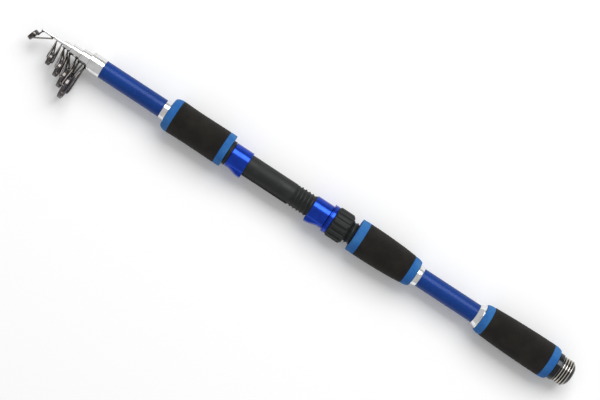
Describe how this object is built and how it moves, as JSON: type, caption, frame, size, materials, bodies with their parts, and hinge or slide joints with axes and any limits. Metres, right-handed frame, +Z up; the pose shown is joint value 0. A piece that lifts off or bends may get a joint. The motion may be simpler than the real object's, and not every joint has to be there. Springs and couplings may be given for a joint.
{
  "type": "telescopic fishing rod",
  "caption": "Telescopic spinning rod slid shut, with foam grips, a screw-lock reel seat, folded-up ringed line guides and a screw-in butt cap.",
  "frame": {"origin": "centre of the butt cap's flat end face, on the rod's axis", "axes": "+X along the rod's axis towards the tip, +Z up; the rod lies on its grips and largest guide, with the guides and the reel bed facing +Y, rolled 5.5 degrees below the horizontal"},
  "size_m": [0.4998, 0.0516, 0.028],
  "materials": {
    "lacquered_blank": "gloss",
    "plain_blank": "gloss",
    "chrome": "polished",
    "dark_chrome": "polished",
    "blue_foam": "matte",
    "black_foam": "matte",
    "seat_plastic": "satin",
    "hood_blue": "gloss",
    "guide_ceramic": "gloss",
    "brass": "satin",
    "rubber": "matte"
  },
  "bodies": {
    "butt": {"butt_blank": "lacquered_blank", "front_ferrule": "chrome", "butt_bush": "brass", "butt_grip_rear_ring": "blue_foam", "butt_grip_foam": "black_foam", "butt_grip_front_ring": "blue_foam", "butt_grip_trim": "chrome", "rear_grip_trim": "chrome", "rear_grip_rear_ring": "blue_foam", "rear_grip_foam": "black_foam", "rear_grip_front_ring": "blue_foam", "foregrip_rear_ring": "blue_foam", "foregrip_foam": "black_foam", "foregrip_front_ring": "blue_foam", "foregrip_trim": "chrome", "reel_seat_barrel": "seat_plastic", "reel_seat_collar": "seat_plastic", "reel_seat_fixed_hood": "hood_blue"},
    "sliding_hood": {"reel_seat_sliding_hood": "hood_blue"},
    "lock_nut": {"reel_seat_lock_nut": "seat_plastic", "reel_seat_nut_ring": "hood_blue"},
    "section_2": {"section_2_blank": "plain_blank", "section_2_ferrule": "chrome", "section_2_guide_frame": "chrome", "section_2_guide_ring": "guide_ceramic"},
    "section_3": {"section_3_blank": "plain_blank", "section_3_ferrule": "chrome", "section_3_guide_frame": "chrome", "section_3_guide_ring": "guide_ceramic"},
    "section_4": {"section_4_blank": "plain_blank", "section_4_ferrule": "chrome", "section_4_guide_frame": "chrome", "section_4_guide_ring": "guide_ceramic"},
    "section_5": {"section_5_blank": "plain_blank", "section_5_ferrule": "chrome", "section_5_guide_frame": "chrome", "section_5_guide_ring": "guide_ceramic"},
    "tip_section": {"tip_section_blank": "plain_blank", "tip_top_tube": "chrome", "tip_top_frame": "chrome", "tip_top_ring": "guide_ceramic"},
    "cushion": {"butt_cushion": "rubber"},
    "butt_cap": {"butt_cap": "dark_chrome"}
  },
  "joints": [
    {"name": "section_2_slide", "type": "slide", "parent": "butt", "child": "section_2", "axis": [1, 0, 0], "range_m": [0, 0.372]},
    {"name": "section_3_slide", "type": "slide", "parent": "section_2", "child": "section_3", "axis": [1, 0, 0], "range_m": [0, 0.381]},
    {"name": "section_4_slide", "type": "slide", "parent": "section_3", "child": "section_4", "axis": [1, 0, 0], "range_m": [0, 0.392]},
    {"name": "section_5_slide", "type": "slide", "parent": "section_4", "child": "section_5", "axis": [1, 0, 0], "range_m": [0, 0.401]},
    {"name": "tip_slide", "type": "slide", "parent": "section_5", "child": "tip_section", "axis": [1, 0, 0], "range_m": [0, 0.413]},
    {"name": "hood_slide", "type": "slide", "parent": "butt", "child": "sliding_hood", "axis": [1, 0, 0], "range_m": [-0.0046, 0.0171]},
    {"name": "nut_turn", "type": "hinge", "parent": "sliding_hood", "child": "lock_nut", "pos_m": [0.216, 0.00045, -0.00004], "axis": [1, 0, 0], "range_deg": [-506.25, 1912.5]},
    {"name": "cushion_slide", "type": "slide", "parent": "butt", "child": "cushion", "axis": [-1, 0, 0], "range_m": [0, 0.0106]},
    {"name": "cap_turn", "type": "hinge", "parent": "cushion", "child": "butt_cap", "pos_m": [0, 0, 0], "axis": [-1, 0, 0], "range_deg": [0, 2520]}
  ],
  "couplings": [
    {"joint": "hood_slide", "follows": "nut_turn", "m_per_rad": 0.0005093},
    {"joint": "cushion_slide", "follows": "cap_turn", "m_per_rad": 0.00023873}
  ]
}
